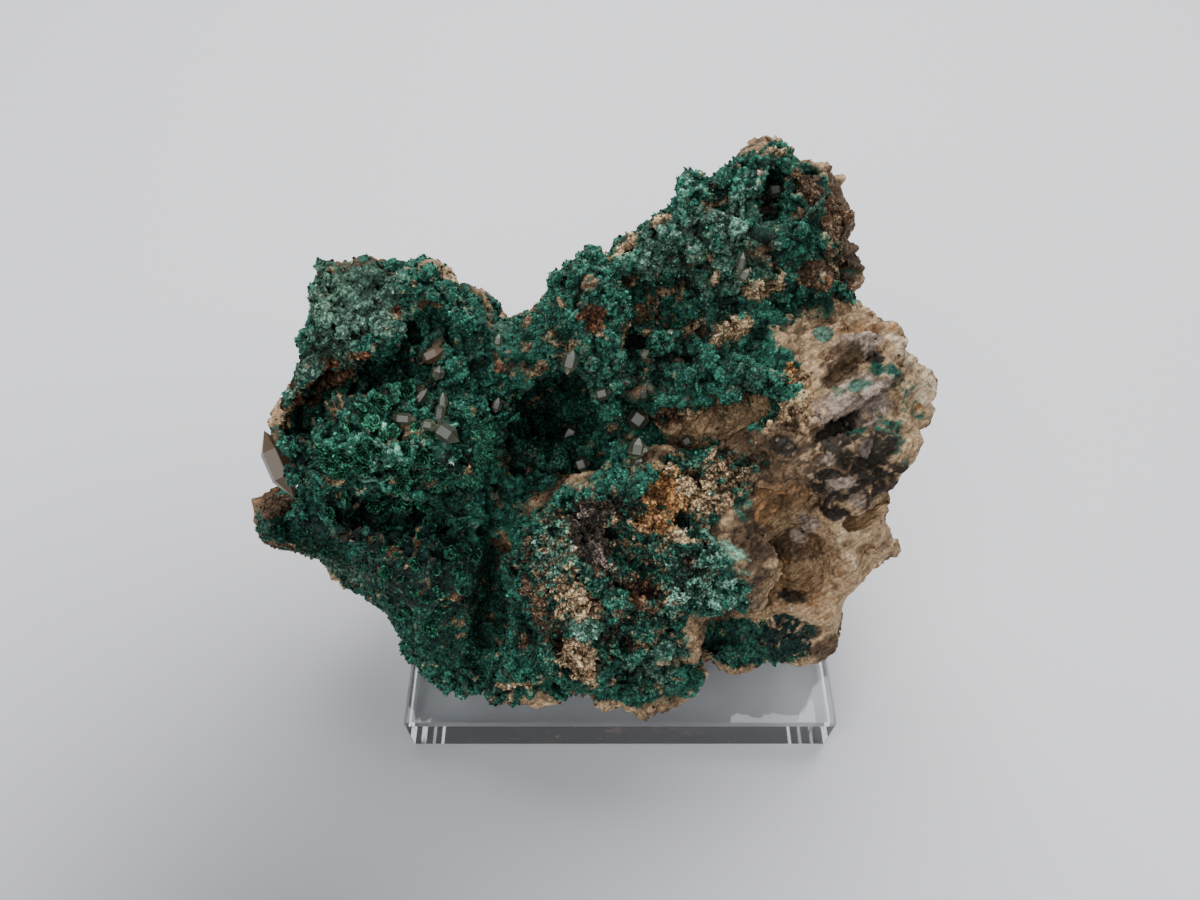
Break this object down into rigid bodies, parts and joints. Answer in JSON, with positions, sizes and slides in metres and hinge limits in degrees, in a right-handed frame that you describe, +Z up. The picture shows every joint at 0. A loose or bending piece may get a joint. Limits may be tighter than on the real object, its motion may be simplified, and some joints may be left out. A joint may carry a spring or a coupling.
{
  "type": "malachite specimen on a display plate",
  "caption": "Rugged malachite specimen: velvety green crust with small clear crystals over brown matrix, a dark hollow in its face, resting on a square clear plate.",
  "frame": {"origin": "centre of the stand's underside", "axes": "+Z up, -Y towards the front of the display face, +X to the right along the specimen's longest side"},
  "size_m": [0.0909, 0.0623, 0.0666],
  "materials": {
    "malachite": "dull, velvety and finely broken mineral crust, deep green over rusty brown matrix",
    "clear_crystal": "clear to smoky, flat shiny faces",
    "tan_crystal": "cloudy tan, flat shiny faces",
    "clear_acrylic": "clear, polished"
  },
  "bodies": {
    "root": {"malachite_rock": "malachite", "display_stand": "clear_acrylic", "tan_quartz_prism": "tan_crystal", "brown_crystal_cave": "clear_crystal", "brown_crystal_hollow": "clear_crystal", "clear_cluster_front": "clear_crystal", "clear_cluster_left": "clear_crystal", "clear_crystal_cave": "clear_crystal", "clear_crystal_hollow": "clear_crystal", "clear_crystal_knob": "clear_crystal", "clear_crystal_valley": "clear_crystal", "clear_lens_middle": "clear_crystal", "clear_pair_cave": "clear_crystal", "clear_prism_left": "clear_crystal", "clear_spindle_left": "clear_crystal", "grey_crystal_knob": "clear_crystal", "grey_crystal_left": "clear_crystal", "grey_crystal_peak": "clear_crystal", "pale_crystal_saddle": "clear_crystal", "pale_prism_tower": "clear_crystal", "tan_crystal_left": "tan_crystal"}
  },
  "joints": []
}
